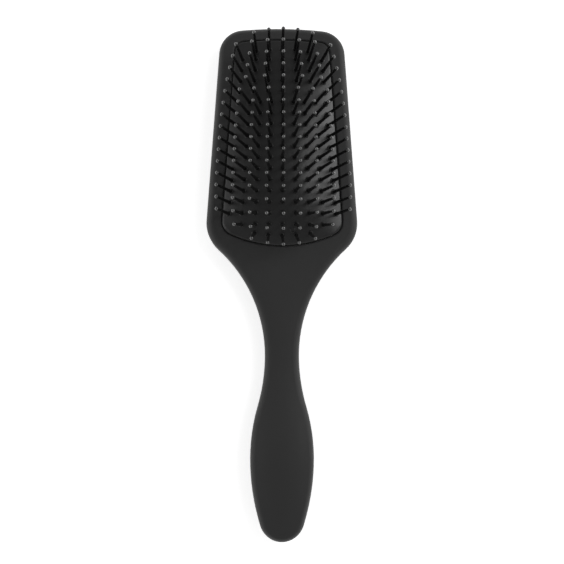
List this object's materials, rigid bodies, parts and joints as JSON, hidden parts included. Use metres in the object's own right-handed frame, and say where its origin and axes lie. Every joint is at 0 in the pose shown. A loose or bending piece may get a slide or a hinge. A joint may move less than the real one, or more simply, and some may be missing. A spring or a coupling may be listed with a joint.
{
  "type": "paddle brush",
  "caption": "Compact paddle hair brush: flat tapered head with a domed air-cushion pad of outward-leaning ball-tipped pins, slim neck and waisted oval handle.",
  "frame": {"origin": "middle of the brush in plan, on the plane its back rests on", "axes": "+Z out of the pins, +Y from the handle to the top of the head, +X to the right"},
  "size_m": [0.0642, 0.218, 0.0352],
  "materials": {
    "soft_touch_shell": "matte",
    "pad_rubber": "satin",
    "pin_nylon": "gloss"
  },
  "bodies": {
    "brush_body": {"front_shell": "soft_touch_shell", "back_shell": "soft_touch_shell"},
    "cushion": {"cushion_pad": "pad_rubber"},
    "pin_row_01": {"pin_row_01": "pin_nylon"},
    "pin_row_02": {"pin_row_02": "pin_nylon"},
    "pin_row_03": {"pin_row_03": "pin_nylon"},
    "pin_row_04": {"pin_row_04": "pin_nylon"},
    "pin_row_05": {"pin_row_05": "pin_nylon"},
    "pin_row_06": {"pin_row_06": "pin_nylon"},
    "pin_row_07": {"pin_row_07": "pin_nylon"},
    "pin_row_08": {"pin_row_08": "pin_nylon"},
    "pin_row_09": {"pin_row_09": "pin_nylon"},
    "pin_row_10": {"pin_row_10": "pin_nylon"},
    "pin_row_11": {"pin_row_11": "pin_nylon"},
    "pin_row_12": {"pin_row_12": "pin_nylon"},
    "pin_row_13": {"pin_row_13": "pin_nylon"},
    "pin_row_14": {"pin_row_14": "pin_nylon"},
    "pin_row_15": {"pin_row_15": "pin_nylon"},
    "pin_row_16": {"pin_row_16": "pin_nylon"},
    "pin_row_17": {"pin_row_17": "pin_nylon"},
    "pin_row_18": {"pin_row_18": "pin_nylon"}
  },
  "joints": [
    {"name": "cushion_press", "type": "slide", "parent": "brush_body", "child": "cushion", "axis": [0, 0, -1], "range_m": [0, 0.0025], "stiffness_N_per_m": 3000, "deforming": ["cushion_pad"]},
    {"name": "pin_row_01_rock", "type": "hinge", "parent": "cushion", "child": "pin_row_01", "pos_m": [0, 0.0989, 0.01353], "axis": [1, 0, 0], "range_deg": [-8, 8], "stiffness_Nm_per_rad": 0.2},
    {"name": "pin_row_02_rock", "type": "hinge", "parent": "cushion", "child": "pin_row_02", "pos_m": [0, 0.09421, 0.01403], "axis": [1, 0, 0], "range_deg": [-8, 8], "stiffness_Nm_per_rad": 0.2},
    {"name": "pin_row_03_rock", "type": "hinge", "parent": "cushion", "child": "pin_row_03", "pos_m": [0, 0.08951, 0.01446], "axis": [1, 0, 0], "range_deg": [-8, 8], "stiffness_Nm_per_rad": 0.2},
    {"name": "pin_row_04_rock", "type": "hinge", "parent": "cushion", "child": "pin_row_04", "pos_m": [0, 0.08482, 0.01483], "axis": [1, 0, 0], "range_deg": [-8, 8], "stiffness_Nm_per_rad": 0.2},
    {"name": "pin_row_05_rock", "type": "hinge", "parent": "cushion", "child": "pin_row_05", "pos_m": [0, 0.08012, 0.01514], "axis": [1, 0, 0], "range_deg": [-8, 8], "stiffness_Nm_per_rad": 0.2},
    {"name": "pin_row_06_rock", "type": "hinge", "parent": "cushion", "child": "pin_row_06", "pos_m": [0, 0.07543, 0.01539], "axis": [1, 0, 0], "range_deg": [-8, 8], "stiffness_Nm_per_rad": 0.2},
    {"name": "pin_row_07_rock", "type": "hinge", "parent": "cushion", "child": "pin_row_07", "pos_m": [0, 0.07074, 0.01557], "axis": [1, 0, 0], "range_deg": [-8, 8], "stiffness_Nm_per_rad": 0.2},
    {"name": "pin_row_08_rock", "type": "hinge", "parent": "cushion", "child": "pin_row_08", "pos_m": [0, 0.06604, 0.01569], "axis": [1, 0, 0], "range_deg": [-8, 8], "stiffness_Nm_per_rad": 0.2},
    {"name": "pin_row_09_rock", "type": "hinge", "parent": "cushion", "child": "pin_row_09", "pos_m": [0, 0.06135, 0.01575], "axis": [1, 0, 0], "range_deg": [-8, 8], "stiffness_Nm_per_rad": 0.2},
    {"name": "pin_row_10_rock", "type": "hinge", "parent": "cushion", "child": "pin_row_10", "pos_m": [0, 0.05665, 0.01576], "axis": [1, 0, 0], "range_deg": [-8, 8], "stiffness_Nm_per_rad": 0.2},
    {"name": "pin_row_11_rock", "type": "hinge", "parent": "cushion", "child": "pin_row_11", "pos_m": [0, 0.05196, 0.01576], "axis": [1, 0, 0], "range_deg": [-8, 8], "stiffness_Nm_per_rad": 0.2},
    {"name": "pin_row_12_rock", "type": "hinge", "parent": "cushion", "child": "pin_row_12", "pos_m": [0, 0.04726, 0.01575], "axis": [1, 0, 0], "range_deg": [-8, 8], "stiffness_Nm_per_rad": 0.2},
    {"name": "pin_row_13_rock", "type": "hinge", "parent": "cushion", "child": "pin_row_13", "pos_m": [0, 0.04257, 0.0157], "axis": [1, 0, 0], "range_deg": [-8, 8], "stiffness_Nm_per_rad": 0.2},
    {"name": "pin_row_14_rock", "type": "hinge", "parent": "cushion", "child": "pin_row_14", "pos_m": [0, 0.03788, 0.01561], "axis": [1, 0, 0], "range_deg": [-8, 8], "stiffness_Nm_per_rad": 0.2},
    {"name": "pin_row_15_rock", "type": "hinge", "parent": "cushion", "child": "pin_row_15", "pos_m": [0, 0.03318, 0.01543], "axis": [1, 0, 0], "range_deg": [-8, 8], "stiffness_Nm_per_rad": 0.2},
    {"name": "pin_row_16_rock", "type": "hinge", "parent": "cushion", "child": "pin_row_16", "pos_m": [0, 0.02849, 0.01512], "axis": [1, 0, 0], "range_deg": [-8, 8], "stiffness_Nm_per_rad": 0.2},
    {"name": "pin_row_17_rock", "type": "hinge", "parent": "cushion", "child": "pin_row_17", "pos_m": [0, 0.02379, 0.01462], "axis": [1, 0, 0], "range_deg": [-8, 8], "stiffness_Nm_per_rad": 0.2},
    {"name": "pin_row_18_rock", "type": "hinge", "parent": "cushion", "child": "pin_row_18", "pos_m": [0, 0.0191, 0.01389], "axis": [1, 0, 0], "range_deg": [-8, 8], "stiffness_Nm_per_rad": 0.2}
  ]
}
